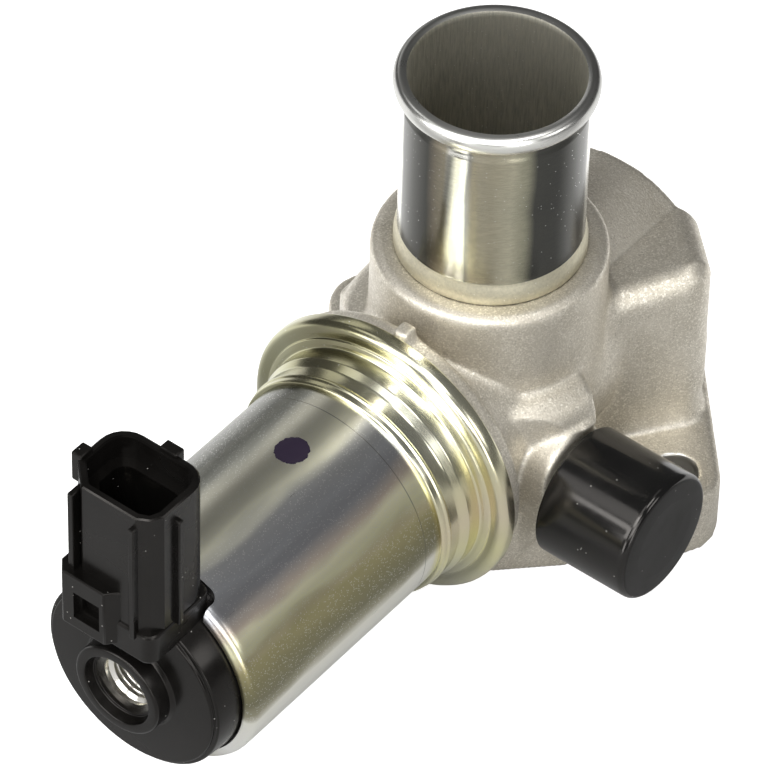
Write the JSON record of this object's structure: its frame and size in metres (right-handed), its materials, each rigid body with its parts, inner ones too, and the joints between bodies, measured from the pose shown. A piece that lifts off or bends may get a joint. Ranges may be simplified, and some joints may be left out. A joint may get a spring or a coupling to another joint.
{
  "type": "idle air control valve",
  "caption": "Cast two-ear body with an upright beaded hose tube, a capped side spout, and a cylindrical plated solenoid on its side with a moulded two-pin socket.",
  "frame": {"origin": "on the flat mounting face, midway between the two bolt holes", "axes": "+Z out of the mounting face and up the hose tube, -Y along the solenoid away from the casting, +X towards the side spout"},
  "size_m": [0.0687, 0.1128, 0.0759],
  "materials": {
    "cast_aluminium": "sand cast",
    "zinc_tube": "zinc plated, drawn",
    "black_rubber": "moulded, semi-gloss",
    "yellow_zinc": "yellow passivated zinc",
    "can_zinc": "yellow passivated zinc, brushed",
    "black_plastic": "moulded, semi-gloss",
    "tin_brass": "tinned",
    "bare_iron": "machined",
    "plated_iron": "nickel plated",
    "natural_plastic": "glass filled",
    "copper_wire": "enamelled copper",
    "amber_tape": "film tape",
    "stainless": "ground",
    "spring_steel": "drawn wire",
    "bronze": "sintered",
    "brass_seat": "turned",
    "grey_plastic": "moulded"
  },
  "bodies": {
    "housing": {"valve_body": "cast_aluminium", "inlet_tube": "zinc_tube", "port_cap": "black_rubber", "solenoid_collar": "yellow_zinc", "solenoid_can": "can_zinc", "end_cap": "black_plastic", "terminal_left": "tin_brass", "terminal_right": "tin_brass", "fixed_core": "bare_iron", "adjusting_screw": "bare_iron", "front_flux_washer": "bare_iron", "coil_bobbin": "natural_plastic", "coil_winding": "copper_wire", "coil_tape": "amber_tape", "guide_tube": "stainless", "pole_plate": "bare_iron", "front_bush": "bronze", "return_spring": "spring_steel", "valve_seat": "brass_seat", "rear_bush": "bronze", "body_seal": "black_rubber", "end_cap_seal": "black_rubber"},
    "armature": {"plunger": "plated_iron", "valve_rod": "stainless", "valve_disc": "grey_plastic", "disc_washer": "stainless", "disc_clip": "spring_steel"}
  },
  "joints": [
    {"name": "plunger_slide", "type": "slide", "parent": "housing", "child": "armature", "axis": [0, -1, 0], "range_m": [0, 0.003], "stiffness_N_per_m": 300, "springref_m": -0.004, "deforming": ["return_spring"]}
  ]
}
